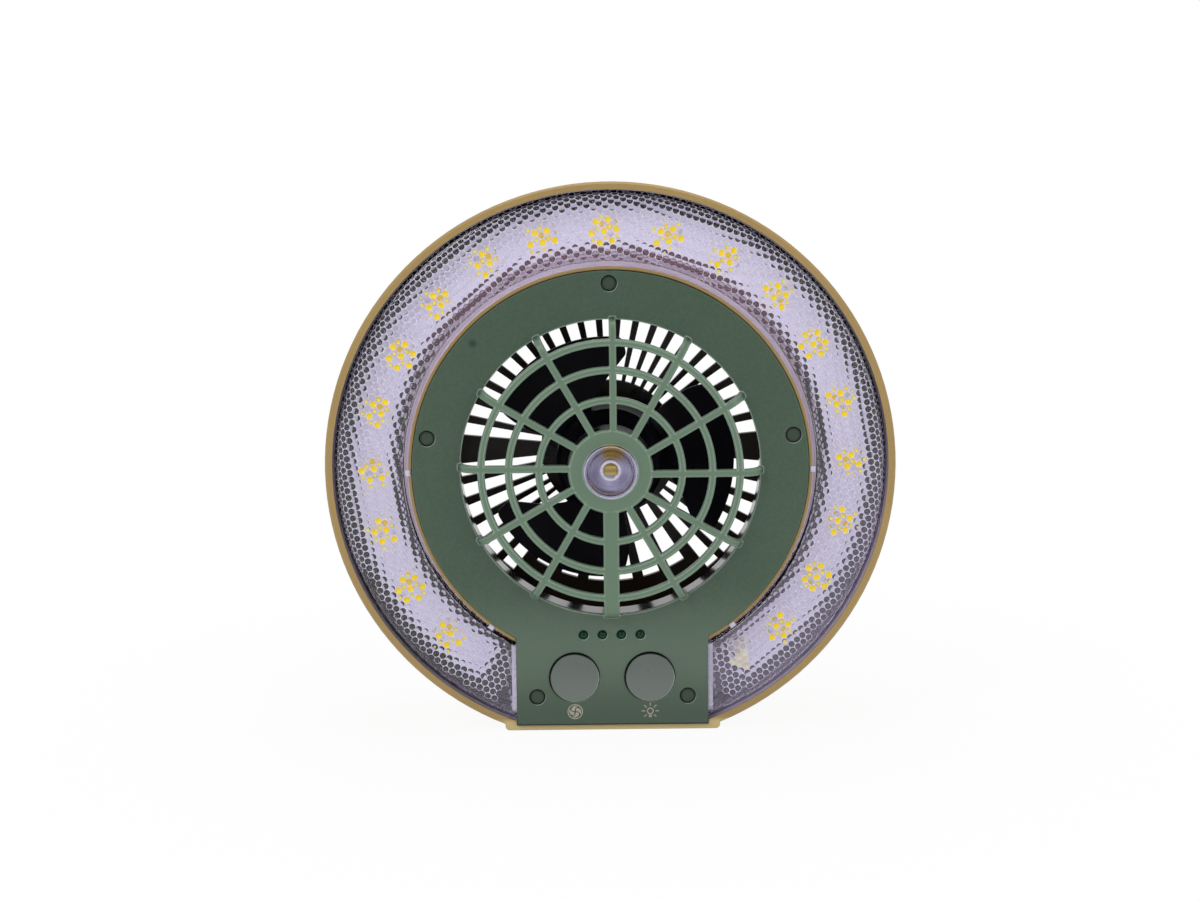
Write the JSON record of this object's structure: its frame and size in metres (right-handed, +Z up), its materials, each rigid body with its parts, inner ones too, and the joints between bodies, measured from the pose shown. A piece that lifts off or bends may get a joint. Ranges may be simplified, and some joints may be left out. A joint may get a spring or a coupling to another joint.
{
  "type": "portable camping fan",
  "caption": "Round rechargeable camping fan with a C-shaped ring lamp, a spotlight in the grille's hub, two push buttons, a flat foot and a folding bail.",
  "frame": {"origin": "centre of the footprint on the plane that the foot stands on", "axes": "+Z up, the grille and lamp face -Y, +X to the right as seen from the front"},
  "size_m": [0.2, 0.0632, 0.1945],
  "materials": {
    "tan_plastic": "satin moulded plastic, tan",
    "green_plastic": "fine-textured moulded plastic, olive green",
    "plug_plastic": "moulded plastic, darker green",
    "button_plastic": "satin moulded plastic, grey-green",
    "duct_plastic": "glossy black plastic",
    "lens_plastic": "clear moulded plastic with small round-hex cells",
    "spot_plastic": "clear moulded plastic",
    "board_white": "white solder mask",
    "board_green": "green solder mask",
    "led_package": "white package with a yellow window",
    "indicator_clear": "green tinted clear plastic",
    "grille_plastic": "dark brown-black moulded plastic",
    "fan_plastic": "black moulded plastic",
    "screw_steel": "zinc-plated steel",
    "motor_steel": "plain steel",
    "magnet": "bonded ferrite",
    "copper_wire": "enamelled copper",
    "bearing_bronze": "sintered bronze",
    "cell_wrap": "shrink sleeve, blue",
    "switch_body": "black plastic",
    "socket_steel": "plated steel shell"
  },
  "bodies": {
    "case": {"front_frame": "tan_plastic", "rear_housing": "tan_plastic", "front_panel": "green_plastic", "panel_screws": "screw_steel", "screw_plugs": "plug_plastic", "duct_ring": "duct_plastic", "light_lens": "lens_plastic", "led_board": "board_white", "ring_leds": "led_package", "led_connector": "board_white", "spot_lens": "spot_plastic", "spot_board": "board_white", "spot_led": "led_package", "spot_cap": "green_plastic", "tact_switches": "switch_body", "control_board": "board_green", "board_screws": "screw_steel", "indicator_leds": "indicator_clear", "rear_grille": "grille_plastic", "case_screws": "screw_steel", "front_bearing": "bearing_bronze", "rear_bearing": "bearing_bronze", "stator_core": "motor_steel", "stator_coils": "copper_wire", "motor_board": "board_green", "motor_base": "motor_steel", "motor_screws": "screw_steel", "battery_cells": "cell_wrap", "port_board": "board_green", "usb_socket": "socket_steel", "bail_pins": "screw_steel"},
    "fan": {"fan_rotor": "fan_plastic", "rotor_yoke": "motor_steel", "rotor_magnet": "magnet", "motor_shaft": "motor_steel", "shaft_clip": "screw_steel"},
    "fan_button": {"fan_button": "button_plastic"},
    "light_button": {"light_button": "button_plastic"},
    "bail": {"bail": "green_plastic"}
  },
  "joints": [
    {"name": "fan_spin", "type": "hinge", "parent": "case", "child": "fan", "pos_m": [0, -0.00112, 0.0945], "axis": [0, 1, 0], "continuous": true},
    {"name": "fan_button_press", "type": "slide", "parent": "case", "child": "fan_button", "axis": [0, 1, 0], "range_m": [0, 0.0008], "stiffness_N_per_m": 2000, "springref_m": -0.0003},
    {"name": "light_button_press", "type": "slide", "parent": "case", "child": "light_button", "axis": [0, 1, 0], "range_m": [0, 0.0008], "stiffness_N_per_m": 2000, "springref_m": -0.0003},
    {"name": "bail_swing", "type": "hinge", "parent": "case", "child": "bail", "pos_m": [0, 0.02703, 0.0945], "axis": [-1, 0, 0], "range_deg": [0, 180]}
  ]
}
